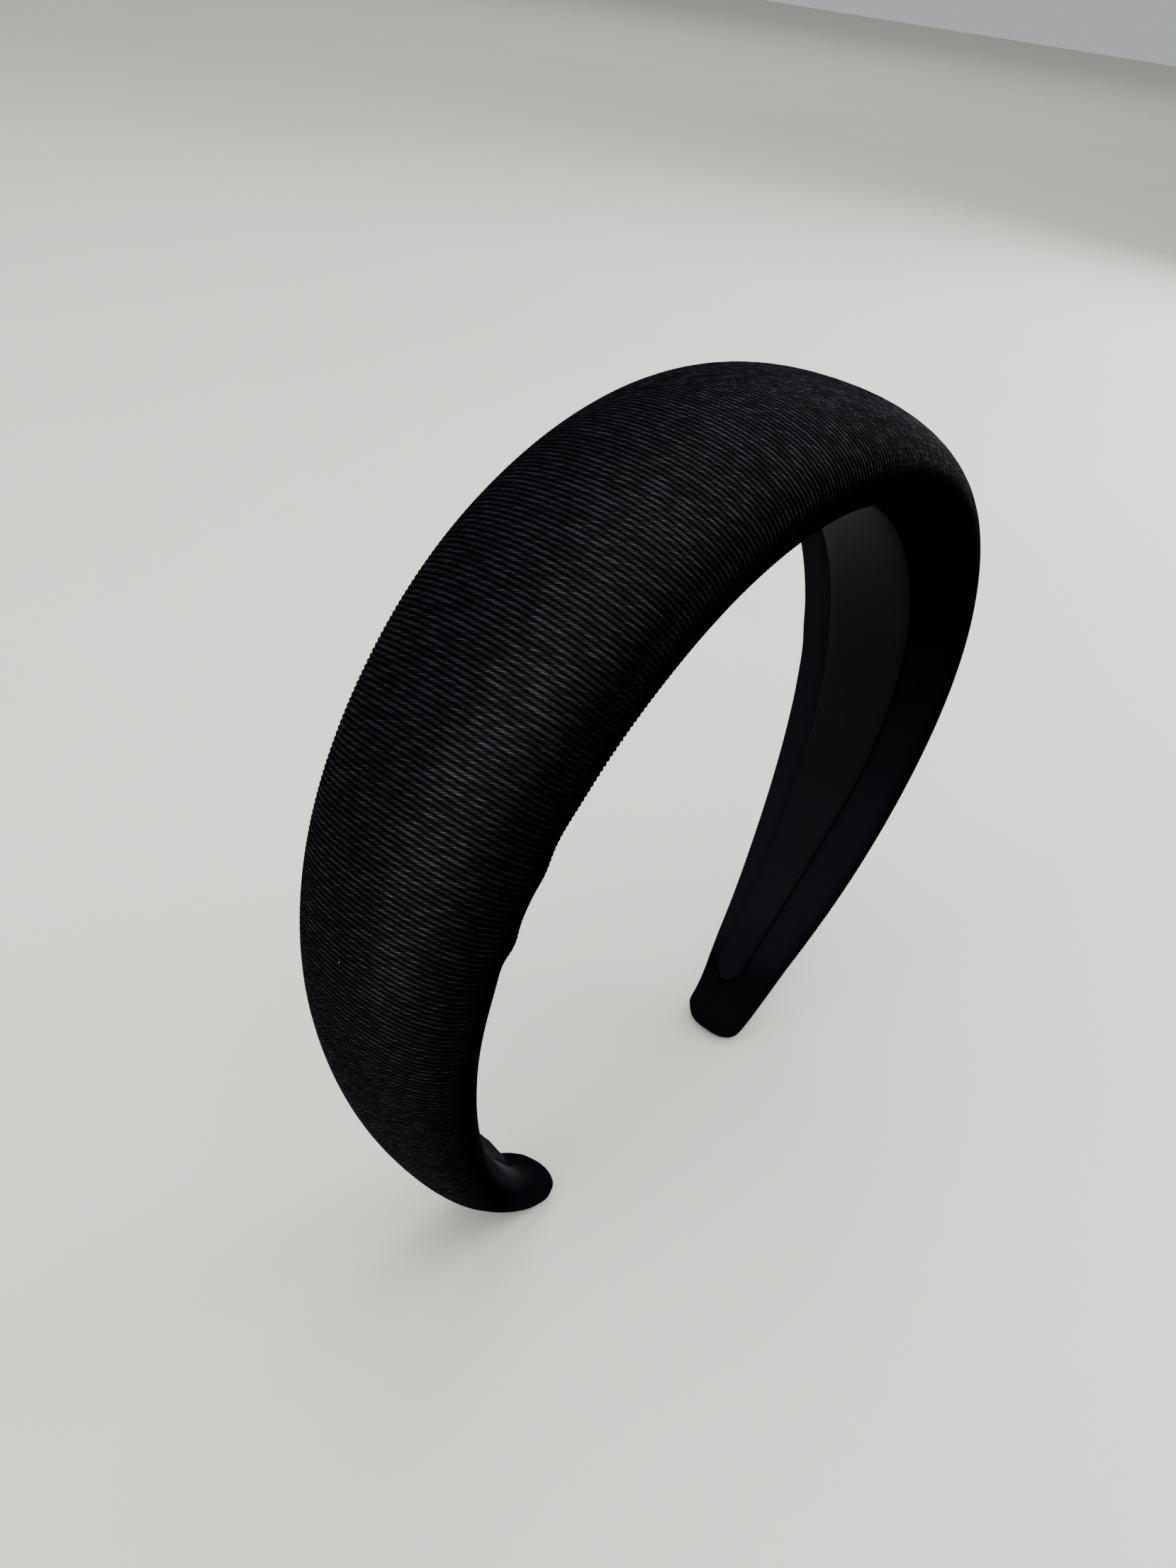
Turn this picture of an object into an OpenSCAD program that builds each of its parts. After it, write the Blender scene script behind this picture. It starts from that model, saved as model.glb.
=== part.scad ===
// A padded headband that stands on the tips of its two legs.
// X runs from leg to leg, Y from the front edge to the back edge, and Z is up.
// The origin is on the surface that it stands on, under the middle of the crown.

/* [Hoop] */
// Radius of the inner face's middle line over the crown
crown_r = 63.9; // [60:0.1:70]
// Turn of the line from the top to the temple, in degrees
crown_turn = 97.2; // [94:0.1:100]
// Radius of the line down the side
side_r = 105.4; // [98:0.1:114]
// Turn of the line down the side, in degrees
side_turn = 36; // [33:0.1:39]
// Radius of the line at the curled tip
tip_r = 13.7; // [12:0.1:16]
// Turn of the line at the curled tip, in degrees
tip_turn = 36.4; // [32:0.1:40]

/* [Band] */
// Width across the crown, at the widest place of the section
band_w = 42.8; // [38:0.1:48]
// Thickness of the crown, from the inner face to the outer
band_t = 16.5; // [14.5:0.1:18.5]
// Fullness of the outer face at the crown: 2 is an ellipse and more is boxier
fullness = 2.2; // [2:0.05:2.5]
// Length over which each tip is rounded, seen from above
tip_round = 3.8; // [3.5:0.1:6]
// Length over which each tip is rounded, seen from the side
tip_blunt = 2.3; // [1.8:0.1:2.6]
// Sway of the tips towards the front edge
tip_sway = 1.5; // [0:0.1:2.5]
// Depth by which the tips are flattened where they stand
rest_depth = 0.5; // [0.3:0.05:0.8]

/* [Cover] */
// Thickness of the ribbed cloth
cover_t = 1.2; // [1:0.05:1.3]
// Width of the slot between the cloth's turned edges, as a share of the lining's width
slot_share = 0.6; // [0.45:0.01:0.7]
// Distance from the slot's end to the lining's end
slot_back = 7; // [5:0.5:12]
// Width of the slope from the lining's seat to the rolled edge beside it
seat_roll = 1.4; // [1:0.1:1.6]

/* [Lining] */
// Width of the lining at the crown
lining_w = 18.6; // [16:0.1:20]
// Thickness of the lining
lining_t = 1; // [1:0.05:1.2]
// Height by which the lining stands out of its seat
lining_proud = 0.15; // [0:0.05:0.4]
// Distance from the lining's end to the tip
lining_end = 11; // [10:0.5:15]
// Length over which the lining's end is rounded
lining_round = 2.5; // [1.5:0.1:3.5]
// Shift of the lining's middle towards the back edge near the tips
lining_back = 1.4; // [0:0.1:1.6]

/* [Gap] */
// Clearance between the pieces
piece_gap = 0.2; // [0.15:0.01:0.3]

/* [Hidden] */
// Sections of half the band, from the crown to the tip.
// along is a share of the half line's length, width of band_w, thick of band_t,
// full of fullness, lining of lining_w, back of lining_back and sway of tip_sway; belly is the
// height of the widest place as a share of the section's thickness.
ALONG = 0;
WIDTH = 1;
THICK = 2;
BELLY = 3;
FULL = 4;
LINING = 5;
BACK = 6;
SWAY = 7;
SECTIONS = [
    // along, width, thick, belly, full, lining, back, sway
    [0.00, 1.000, 1.000, 0.37, 1.00, 1.00, 0.0, 0.0],
    [0.20, 0.976, 0.998, 0.35, 1.00, 1.00, 0.0, 0.0],
    [0.40, 0.889, 0.969, 0.34, 1.00, 0.97, 0.0, 0.0],
    [0.60, 0.742, 0.843, 0.33, 1.00, 0.78, 0.2, 0.0],
    [0.75, 0.604, 0.705, 0.32, 1.02, 0.53, 0.8, 0.0],
    [0.88, 0.446, 0.568, 0.32, 1.30, 0.35, 1.0, 0.0],
    [0.96, 0.345, 0.413, 0.32, 2.00, 0.28, 1.0, 0.5],
    [1.00, 0.310, 0.247, 0.32, 2.20, 0.24, 1.0, 1.0]
];
// Steps of the mesh: along the slot, along the curl, round a tip, and round a section's corner and dome
SLOT_STEPS = 18;
CURL_STEPS = 3;
TIP_STEPS = 6;
TIP_STEP_ANGLE = 13;
CORNER_STEPS = 4;
DOME_STEPS = 7;

// Lengths along half of the hoop's line, from the top of the crown
crown_len = crown_r * crown_turn * PI / 180;
side_len = side_r * side_turn * PI / 180;
half_len = crown_len + side_len + tip_r * tip_turn * PI / 180;
lining_len = half_len - lining_end;
taper_len = lining_len - lining_round;
seat_len = lining_len + piece_gap;
slot_len = lining_len - slot_back;
// Depth of the seat that the lining lies in
seat_depth = lining_t + piece_gap - lining_proud;
// Inset of the padding's skin from the outside of the cloth
padding_inset = cover_t + piece_gap;

// The hoop's line: its heading, and its place as [x, z] from the top of the crown
function turned(length, radius) = length / radius * 180 / PI;
function heading(l) =
    l <= crown_len ? turned(l, crown_r)
    : l <= crown_len + side_len ? crown_turn + turned(l - crown_len, side_r)
    : crown_turn + side_turn + turned(l - crown_len - side_len, tip_r);
function arc(radius, from, to) = radius * [sin(to) - sin(from), cos(to) - cos(from)];
temple = arc(crown_r, 0, crown_turn);
bend = temple + arc(side_r, crown_turn, crown_turn + side_turn);
function line_point(l) =
    l <= crown_len ? arc(crown_r, 0, heading(l))
    : l <= crown_len + side_len ? temple + arc(side_r, crown_turn, heading(l))
    : bend + arc(tip_r, crown_turn + side_turn, heading(l));
// A point at length l, at a place [across, out] of the section there
function place(l, q) =
    let (p = line_point(abs(l)), h = heading(abs(l)), across = q[0] - tip_sway * read(SWAY, l))
    [sign(l) * (p[0] + q[1] * sin(h)), across, p[1] + q[1] * cos(h)];

// A column of the table, read smoothly at length l
LAST = len(SECTIONS) - 1;
function rise(c, k) =
    (SECTIONS[k + 1][c] - SECTIONS[k][c]) / (SECTIONS[k + 1][ALONG] - SECTIONS[k][ALONG]);
function knot_rise(c, k) =
    k == 0 ? 0
    : k == LAST ? rise(c, k - 1)
    : rise(c, k - 1) * rise(c, k) <= 0 ? 0
    : 2 * rise(c, k - 1) * rise(c, k) / (rise(c, k - 1) + rise(c, k));
function row_at(share) =
    min(LAST - 1, len([for (row = SECTIONS) if (row[ALONG] <= share) row]) - 1);
function read(c, l) =
    let (
        share = min(1, abs(l) / half_len),
        k = row_at(share),
        step = SECTIONS[k + 1][ALONG] - SECTIONS[k][ALONG],
        u = (share - SECTIONS[k][ALONG]) / step
    )
    SECTIONS[k][c] * (2 * u ^ 3 - 3 * u ^ 2 + 1) + SECTIONS[k + 1][c] * (3 * u ^ 2 - 2 * u ^ 3)
    + step * (knot_rise(c, k) * (u ^ 3 - 2 * u ^ 2 + u) + knot_rise(c, k + 1) * (u ^ 3 - u ^ 2));

// Smooth step from 0 to 1
function eased(x) = let (u = min(1, max(0, x))) u * u * (3 - 2 * u);
// Share of a size that is left at a distance before an end that is rounded over a length
function rounded(left, length) =
    left >= length ? 1 : sqrt(max(0, 1 - (1 - max(left, 0) / length) ^ 2));

// The lining and the slot under it: half widths, and the shift of their middle
function lining_half(l) =
    lining_w / 2 * read(LINING, l) * (1 - 0.5 * min(1, max(0, (abs(l) - taper_len) / lining_round)));
function lining_middle(l) = lining_back * read(BACK, l);
function slot_half(l) = slot_share * lining_half(l);

// Sizes of a skin's section at length l: inset is its depth under the outside of the cloth
function tip_left(l, inset) = half_len - inset - abs(l);
function plan_left(l, inset) = rounded(tip_left(l, inset), tip_round - inset);
function skin_half_w(l, inset) = (band_w / 2 * read(WIDTH, l) - inset) * plan_left(l, inset);
function full_t(l, inset) = band_t * read(THICK, l) - 2 * inset;
function skin_t(l, inset) = full_t(l, inset) * rounded(tip_left(l, inset), tip_blunt);
function skin_base(l, inset) = inset + (full_t(l, inset) - skin_t(l, inset)) / 2;
function skin_belly(l, inset) =
    let (share = (read(BELLY, l) * full_t(l, 0) - inset) / full_t(l, inset))
    skin_base(l, inset) + skin_t(l, inset) * max(0.12, share);
function skin_seat(l, inset) =
    skin_base(l, inset) + seat_depth * (1 - eased((abs(l) - seat_len) / seat_roll));
function skin_middle(l, inset) = lining_middle(l) * plan_left(l, inset);
function skin_edge(l, inset) =
    min(
        lining_half(l) + piece_gap + 0.4 * inset,
        0.6 * skin_half_w(l, inset) - abs(skin_middle(l, inset))
    );
function skin_lip(l, inset) = min(slot_half(l), 0.55 * skin_edge(l, inset));

// Half a section from the slot's lip to the last column before the top, as [across, out].
// side is 1 towards the back and -1 towards the front; the lip is lip_in inside the slot's edge.
function half_section(l, inset, side, lip_in) =
    let (
        half_w = skin_half_w(l, inset),
        base = skin_base(l, inset),
        belly = skin_belly(l, inset),
        seat = skin_seat(l, inset),
        middle = side * skin_middle(l, inset),
        edge = skin_edge(l, inset),
        margin = middle + min(edge + seat_roll, 0.85 * half_w - abs(middle)),
        dome = base + skin_t(l, inset) - belly,
        power = 2 / (fullness * read(FULL, l))
    )
    concat(
        [
            [side * (middle + skin_lip(l, inset) - lip_in * plan_left(l, inset)), seat],
            [side * (middle + edge), seat],
            [side * margin, base]
        ],
        [for (k = [1 : CORNER_STEPS])
            let (q = 90 * k / CORNER_STEPS)
            [side * (margin + (half_w - margin) * sin(q)), base + (belly - base) * (1 - cos(q))]],
        [for (k = [1 : DOME_STEPS - 1])
            let (q = 90 * k / DOME_STEPS)
            [side * half_w * cos(q) ^ power, belly + dome * sin(q) ^ power]]
    );
function reversed(list) = [for (k = [len(list) - 1 : -1 : 0]) list[k]];
function top_point(l, inset) = [0, skin_base(l, inset) + skin_t(l, inset)];

// A whole section of the cloth: the middle of its inner face, the back side, the top, the front side
function cloth_section(l, inset) =
    concat(
        [[skin_middle(l, inset), skin_seat(l, inset)]],
        half_section(l, inset, 1, 0),
        [top_point(l, inset)],
        reversed(half_section(l, inset, -1, 0))
    );
// A whole section of the padding, which also fills the slot between the cloth's turned edges
function padding_section(l) =
    let (
        inset = padding_inset,
        in_slot = abs(l) < slot_len - 1.5 * piece_gap,
        strip = skin_seat(l, inset) - (in_slot ? cover_t : 0),
        middle = skin_middle(l, inset),
        strip_half = skin_lip(l, inset) - 2 * piece_gap * plan_left(l, inset)
    )
    concat(
        [[middle, strip], [middle + strip_half, strip]],
        half_section(l, inset, 1, piece_gap),
        [top_point(l, inset)],
        reversed(half_section(l, inset, -1, piece_gap)),
        [[middle - strip_half, strip]]
    );
// A section of the lining, with its long edges cut at the corners
LINING_CUT = 0.3;
function lining_section(l) =
    let (
        half = lining_half(l),
        middle = lining_middle(l),
        low = -lining_proud,
        high = low + lining_t,
        right = [
            [half - LINING_CUT, low],
            [half, low + LINING_CUT],
            [half, high - LINING_CUT],
            [half - LINING_CUT, high]
        ]
    )
    concat(
        [for (q = right) [middle + q[0], q[1]]],
        [for (q = reversed(right)) [middle - q[0], q[1]]]
    );

// Lengths along half of the line at which the pieces have a section
slot_stations = [for (k = [0 : SLOT_STEPS - 1]) slot_len * k / SLOT_STEPS];
seat_stations = [taper_len, seat_len, seat_len + seat_roll];
curl_from = seat_len + seat_roll;
curl_stations =
    [for (k = [1 : CURL_STEPS - 1])
        curl_from + (half_len - tip_round - curl_from) * k / CURL_STEPS];
function tip_stations(inset) =
    [for (k = [0 : TIP_STEPS])
        half_len - inset - (tip_round - inset) * (1 - sin(k * TIP_STEP_ANGLE))];
function cloth_stations(inset) =
    concat(slot_stations, [slot_len], seat_stations, curl_stations, tip_stations(inset));
padding_stations =
    concat(
        slot_stations,
        [slot_len - 2 * piece_gap, slot_len - piece_gap],
        seat_stations,
        curl_stations,
        tip_stations(padding_inset)
    );
lining_stations = concat(slot_stations, [slot_len, taper_len, lining_len]);
function both_legs(list) = concat([for (k = [len(list) - 1 : -1 : 1]) -list[k]], list);

// Everything is lifted so that the tips stand on the surface, flattened by rest_depth
outer_rings = [for (l = both_legs(cloth_stations(0))) [for (q = cloth_section(l, 0)) place(l, q)]];
lift = -min([for (ring = outer_rings) min([for (p = ring) p[2]])]) - rest_depth;
function settled(p, floor_z) = [p[0], p[1], max(p[2] + lift, floor_z)];
function tip_point(side, inset) =
    let (l = half_len - inset)
    settled(place(side * l, [0, inset + full_t(l, inset) / 2]), inset);

// Faces over a grid of rings: at(i, j) is column j of ring i, and flip turns the faces over
function at(i, j, columns, first) = first + i * columns + j % columns;
function quad(a, b, c, d) = [[a, b, c], [a, c, d]];
function turned_over(faces, flip) = flip ? [for (f = faces) reversed(f)] : faces;
function grid_faces(rings, columns, first, flip, slot_rings) =
    turned_over(
        [for (i = [0 : rings - 2], j = [0 : columns - 1])
            let (in_slot = i >= slot_rings[0] && i < slot_rings[1] && (j == 0 || j == columns - 1))
            if (!in_slot)
                each quad(
                    at(i, j, columns, first),
                    at(i + 1, j, columns, first),
                    at(i + 1, j + 1, columns, first),
                    at(i, j + 1, columns, first)
                )],
        flip
    );
function end_faces(rings, columns, first, flip, pole) =
    turned_over(
        [for (j = [0 : columns - 1])
            each [
                [pole, at(0, j, columns, first), at(0, j + 1, columns, first)],
                [
                    pole + 1,
                    at(rings - 1, j + 1, columns, first),
                    at(rings - 1, j, columns, first)
                ]
            ]],
        flip
    );
NO_SLOT = [0, 0];

// The ribbed cloth: an outer skin and an inner skin, joined by walls round the slot
module cover() {
    columns = len(outer_rings[0]);
    rings = len(outer_rings);
    centre = len(cloth_stations(0)) - 1;
    slot = [centre - SLOT_STEPS, centre + SLOT_STEPS];
    inner = rings * columns;
    poles = 2 * inner;
    outer_points = [for (ring = outer_rings) each [for (p = ring) settled(p, 0)]];
    inner_points =
        [for (l = both_legs(cloth_stations(cover_t)))
            each [for (q = cloth_section(l, cover_t)) settled(place(l, q), cover_t)]];
    lip_walls =
        [for (i = [slot[0] : slot[1] - 1])
            each concat(
                quad(
                    at(i + 1, 1, columns, 0),
                    at(i, 1, columns, 0),
                    at(i, 1, columns, inner),
                    at(i + 1, 1, columns, inner)
                ),
                quad(
                    at(i, columns - 1, columns, 0),
                    at(i + 1, columns - 1, columns, 0),
                    at(i + 1, columns - 1, columns, inner),
                    at(i, columns - 1, columns, inner)
                )
            )];
    slot_ends =
        [for (j = [0, columns - 1])
            each concat(
                quad(
                    at(slot[1], j, columns, 0),
                    at(slot[1], j + 1, columns, 0),
                    at(slot[1], j + 1, columns, inner),
                    at(slot[1], j, columns, inner)
                ),
                quad(
                    at(slot[0], j + 1, columns, 0),
                    at(slot[0], j, columns, 0),
                    at(slot[0], j, columns, inner),
                    at(slot[0], j + 1, columns, inner)
                )
            )];
    color([0.06, 0.065, 0.085])
        polyhedron(
            points = concat(
                outer_points,
                inner_points,
                [tip_point(-1, 0), tip_point(1, 0)],
                [tip_point(-1, cover_t), tip_point(1, cover_t)]
            ),
            faces = concat(
                grid_faces(rings, columns, 0, false, slot),
                grid_faces(rings, columns, inner, true, slot),
                lip_walls,
                slot_ends,
                end_faces(rings, columns, 0, false, poles),
                end_faces(rings, columns, inner, true, poles + 2)
            )
        );
}

// The soft core inside the cloth
module padding() {
    ring_points =
        [for (l = both_legs(padding_stations))
            [for (q = padding_section(l)) settled(place(l, q), padding_inset)]];
    columns = len(ring_points[0]);
    rings = len(ring_points);
    poles = rings * columns;
    color([0.16, 0.16, 0.17])
        polyhedron(
            points = concat(
                [for (ring = ring_points) each ring],
                [tip_point(-1, padding_inset), tip_point(1, padding_inset)]
            ),
            faces = concat(
                grid_faces(rings, columns, 0, false, NO_SLOT),
                end_faces(rings, columns, 0, false, poles)
            )
        );
}

// The smooth ribbon along the inner face, over the cloth's turned edges
module lining() {
    ring_points =
        [for (l = both_legs(lining_stations))
            [for (q = lining_section(l)) settled(place(l, q), 0)]];
    columns = len(ring_points[0]);
    rings = len(ring_points);
    poles = rings * columns;
    ends =
        [for (side = [-1, 1])
            settled(
                place(side * lining_len, [lining_middle(lining_len), lining_t / 2 - lining_proud]),
                0
            )];
    color([0.22, 0.22, 0.24])
        polyhedron(
            points = concat([for (ring = ring_points) each ring], ends),
            faces = concat(
                grid_faces(rings, columns, 0, false, NO_SLOT),
                end_faces(rings, columns, 0, false, poles)
            )
        );
}

cover();
padding();
lining();
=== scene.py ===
"""A padded headband: ribbed cloth drawn taut over a thick soft core, with a satin ribbon along its inner face.

Lengths are in millimetres and angles in degrees, as in the part's source, until a mesh is made in metres.
"""

import math

import bpy
import numpy as np
from mathutils import Matrix, Vector


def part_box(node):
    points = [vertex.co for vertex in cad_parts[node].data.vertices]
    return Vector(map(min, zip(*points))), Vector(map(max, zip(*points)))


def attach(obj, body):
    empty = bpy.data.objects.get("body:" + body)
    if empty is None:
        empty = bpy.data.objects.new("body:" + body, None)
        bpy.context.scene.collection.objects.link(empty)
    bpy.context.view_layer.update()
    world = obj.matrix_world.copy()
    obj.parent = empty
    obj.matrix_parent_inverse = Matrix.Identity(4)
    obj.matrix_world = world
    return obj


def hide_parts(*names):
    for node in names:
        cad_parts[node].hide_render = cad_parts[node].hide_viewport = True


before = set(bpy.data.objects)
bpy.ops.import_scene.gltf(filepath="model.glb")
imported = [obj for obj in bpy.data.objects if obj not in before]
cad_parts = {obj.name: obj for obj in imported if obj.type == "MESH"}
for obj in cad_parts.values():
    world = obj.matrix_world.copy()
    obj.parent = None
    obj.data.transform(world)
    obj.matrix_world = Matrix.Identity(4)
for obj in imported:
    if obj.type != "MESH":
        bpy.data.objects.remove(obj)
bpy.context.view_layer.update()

MM = 0.001

# The hoop's line and the band's sizes, as in the part's source
CROWN_R, CROWN_TURN = 63.9, 97.2
SIDE_R, SIDE_TURN = 105.4, 36.0
TIP_R, TIP_TURN = 13.7, 36.4
BAND_W, BAND_T, FULLNESS = 42.8, 16.5, 2.2
TIP_ROUND, TIP_BLUNT, TIP_SWAY = 3.8, 2.3, 1.5
COVER_T, PIECE_GAP = 1.2, 0.2
SLOT_SHARE, SLOT_BACK, SEAT_ROLL = 0.6, 7.0, 1.4
LINING_W, LINING_T, LINING_PROUD = 18.6, 1.0, 0.15
LINING_END, LINING_ROUND, LINING_BACK = 11.0, 2.5, 1.4
LINING_TAPER = 0.5

# Shares that keep the section sound where the band gets thin, as in the part's source
LEAST_BELLY, EDGE_INSET, MOST_EDGE, MOST_LIP, MOST_REACH = 0.12, 0.4, 0.6, 0.55, 0.85

# Sections of half the band, from the crown to the tip, as in the part's source
ALONG, WIDTH, THICK, BELLY, FULL, LINING, BACK, SWAY = range(8)
SECTIONS = np.array([
    # along, width, thick, belly, full, lining, back, sway
    [0.00, 1.000, 1.000, 0.37, 1.00, 1.00, 0.0, 0.0],
    [0.20, 0.976, 0.998, 0.35, 1.00, 1.00, 0.0, 0.0],
    [0.40, 0.889, 0.969, 0.34, 1.00, 0.97, 0.0, 0.0],
    [0.60, 0.742, 0.843, 0.33, 1.00, 0.78, 0.2, 0.0],
    [0.75, 0.604, 0.705, 0.32, 1.02, 0.53, 0.8, 0.0],
    [0.88, 0.446, 0.568, 0.32, 1.30, 0.35, 1.0, 0.0],
    [0.96, 0.345, 0.413, 0.32, 2.00, 0.28, 1.0, 0.5],
    [1.00, 0.310, 0.247, 0.32, 2.20, 0.24, 1.0, 1.0],
])
CROWN_LEN = CROWN_R * math.radians(CROWN_TURN)
SIDE_LEN = SIDE_R * math.radians(SIDE_TURN)
HALF_LEN = CROWN_LEN + SIDE_LEN + TIP_R * math.radians(TIP_TURN)
LINING_LEN = HALF_LEN - LINING_END
TAPER_LEN = LINING_LEN - LINING_ROUND
SEAT_LEN = LINING_LEN + PIECE_GAP
SLOT_LEN = LINING_LEN - SLOT_BACK
SEAT_DEPTH = LINING_T + PIECE_GAP - LINING_PROUD
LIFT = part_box("cover")[1][2] / MM - BAND_T

# Columns of half a section: the seat under the ribbon, the rounded corner and the dome of the outer face
SEAT_COLUMNS, CORNER_STEPS, DOME_STEPS = 3, 7, 12

# The ribs of the cloth: their pitch along the hoop's line, and the form of one rib, ring by ring
RIB_PITCH = 0.72
RIB_HEIGHT = 0.105
RIB_FORM = np.array([1.0, 0.25, -1.0, 0.25])
RIB_RINGS = len(RIB_FORM)

# The ribs bow a little towards the tips at the band's edges, but not on the last length before a tip
RIB_BOW, STRAIGHT_LEN = 0.00003, 4.0

# Where the ribs and the sheen fade towards a toe, and what is left of them there
RIB_FADE_END, RIB_FADE, SHEEN_FADE, TOE_SHARE = 6.0, 24.0, 36.0, 0.12

# Distances before the tips of the last rib's ring and of the closer rings after it, and the same of the core
# and of the ribbon, with the number of even rings between them
LAST_RIB, COVER_ENDS = 0.12, np.array([0.09, 0.035, 0.01])
CORE_BODY, CORE_RINGS, CORE_ENDS = 2.2, 241, np.array([1.7, 1.2, 0.8, 0.45, 0.2, 0.06])
RIBBON_BODY, RIBBON_RINGS = 3.0, 341
RIBBON_ENDS = np.array([2.5, 2.0, 1.5, 1.1, 0.7, 0.4, 0.2, 0.08, 0.0])

# The ribbon's section: shares of its half width, how square its edges are, how far its back edge spreads on the
# visible side, and how its ends are rounded
RIBBON_SHARES = np.array([-1.0, -0.97, -0.9, -0.75, -0.5, -0.25, 0.0, 0.25, 0.5, 0.75, 0.9, 0.97, 1.0])
RIBBON_SQUARE, RIBBON_SPREAD, SPREAD_FROM = 6, 1.1, 0.2
RIBBON_ROUND, LEAST_RIBBON = LINING_ROUND + 1.0, 0.12

# The near toe is bent by wear: the back edge of its inner face stands in towards the head, and its end is
# pressed flat. The bend fades towards the front edge and towards the outer face.
TOE_BENDS = [
    # inwards, length, reach
    (1.5, -170.0, 5.0),
    (-2.6, -178.0, 4.5),
]
TOE_FRONT, TOE_WIDE, TOE_DEEP = -1.0, 6.0, 5.0

# The swelling of the padding under the taut cloth, a cloth simulation of its outside: it starts a little under
# the outside, is held at the slot and at the ends, and may rise or sink up to the cap against what is free
SWELL_RINGS, SWELL_FRAMES, SWELL_PRESSURE = 171, 20, 4.0
SWELL_START, SWELL_CAP, SWELL_FREE = 0.45, 0.45, 0.9
SWELL_STOP, SWELL_HELD, SWELL_ENDS = 1.0, 2.0, 7.0

# Painted light that makes the inner face of the cloth paler: on the front edge it begins along the legs, so the
# front edge under the crown keeps painted shade, and it ends before the tips
FRONT_PALE, FRONT_PALE_FROM, FRONT_PALE_REACH = 0.1, 70.0, 65.0
TIP_DULL, TIP_DULL_FROM, TIP_DULL_REACH = 0.85, 158.0, 14.0
INNER_FROM, INNER_REACH = 0.2, 0.6

# The sides of the toes, where the cloth is matt and painted paler with painted light bounced from the floor:
# how much, from where it faces, and how much less so inside
SIDES_MATT_AND_PAINTED_LIGHT, SIDES_FROM, SIDES_REACH, SIDES_INSIDE = 0.65, 1.02, 0.3, 0.7

# Where the cloth is pressed smooth along the front corner of the near toe's inner face
PRESSED_AT, PRESSED_REACH, PRESSED_COLUMN, PRESSED_WIDE = -162.0, 6.0, 39.4, 1.4

# How much of the light the cloth's threads throw back
CLOTH_GLOSS = 0.046
PRESSED_GLOSS = 0.10

# Small puckers that stay in the cloth where it is drawn round the legs
PUCKERS = [
    # length, column, height, reach along, reach in columns
    (-81.5, 34.5, 0.42, 1.6, 2.6),
    (-85.5, 34.5, -0.22, 2.4, 2.4),
    (-70.8, 34.5, 0.28, 1.8, 2.2),
    (-66.0, 33.0, -0.25, 3.0, 2.5),
    (154.5, 38.0, 0.35, 3.5, 1.6),
    (158.5, 39.0, -0.25, 3.0, 1.6),
    (88.0, 8.0, 0.16, 2.6, 2.2),
    (93.0, 8.0, -0.12, 3.2, 2.2),
    (-128.0, 7.0, 0.30, 2.6, 2.0),
]


# The hoop's line

def hoop_heading(length):
    """Heading of the hoop's line at a length from the top of the crown, in radians."""
    crown, side = math.radians(CROWN_TURN), math.radians(SIDE_TURN)
    return np.where(
        length <= CROWN_LEN, length / CROWN_R,
        np.where(length <= CROWN_LEN + SIDE_LEN, crown + (length - CROWN_LEN) / SIDE_R,
                 crown + side + (length - CROWN_LEN - SIDE_LEN) / TIP_R))


def arc(radius, start, end):
    return radius * np.stack([np.sin(end) - np.sin(start), np.cos(end) - np.cos(start)], -1)


def hoop_point(length):
    """[x, z] of the hoop's line at a length from the top of the crown."""
    crown = math.radians(CROWN_TURN)
    bend = crown + math.radians(SIDE_TURN)
    heading = hoop_heading(length)
    temple_at = arc(CROWN_R, 0.0, crown)
    bend_at = temple_at + arc(SIDE_R, crown, bend)
    on_crown = (length <= CROWN_LEN)[..., None]
    on_side = (length <= CROWN_LEN + SIDE_LEN)[..., None]
    return np.where(on_crown, arc(CROWN_R, 0.0 * heading, heading),
                    np.where(on_side, temple_at + arc(SIDE_R, crown + 0.0 * heading, heading),
                             bend_at + arc(TIP_R, bend + 0.0 * heading, heading)))


def knot_slopes():
    """Slopes at the rows of the table that keep every column monotone between its rows."""
    rise = np.diff(SECTIONS, axis=0) / np.diff(SECTIONS[:, ALONG])[:, None]
    slopes = np.zeros_like(SECTIONS)
    before, after = rise[:-1], rise[1:]
    total = np.where(before * after > 0, before + after, 1.0)
    slopes[1:-1] = np.where(before * after > 0, 2 * before * after / total, 0.0)
    slopes[-1] = rise[-1]
    return slopes


SLOPES = knot_slopes()


def read(column, length):
    """A column of the table, read smoothly at a length."""
    share = np.clip(np.abs(length) / HALF_LEN, 0, 1)
    along = SECTIONS[:, ALONG]
    k = np.clip(np.searchsorted(along, share, side="right") - 1, 0, len(along) - 2)
    step = along[k + 1] - along[k]
    u = (share - along[k]) / step
    values, slopes = SECTIONS[:, column], SLOPES[:, column]
    return (values[k] * (2 * u ** 3 - 3 * u ** 2 + 1) + values[k + 1] * (3 * u ** 2 - 2 * u ** 3)
            + step * (slopes[k] * (u ** 3 - 2 * u ** 2 + u) + slopes[k + 1] * (u ** 3 - u ** 2)))


def eased(x):
    u = np.clip(x, 0, 1)
    return u * u * (3 - 2 * u)


def rounded(left, length):
    """Share of a size that is left at a distance before an end that is rounded over a length."""
    return np.sqrt(np.clip(1 - (1 - np.clip(left / length, 0, 1)) ** 2, 0, 1))


def bump(x, width):
    return np.exp(-0.5 * (x / width) ** 2)


# The band's section

def lining_half(length):
    taper = np.clip((np.abs(length) - TAPER_LEN) / LINING_ROUND, 0, 1)
    return LINING_W / 2 * read(LINING, length) * (1 - LINING_TAPER * taper)


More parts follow.
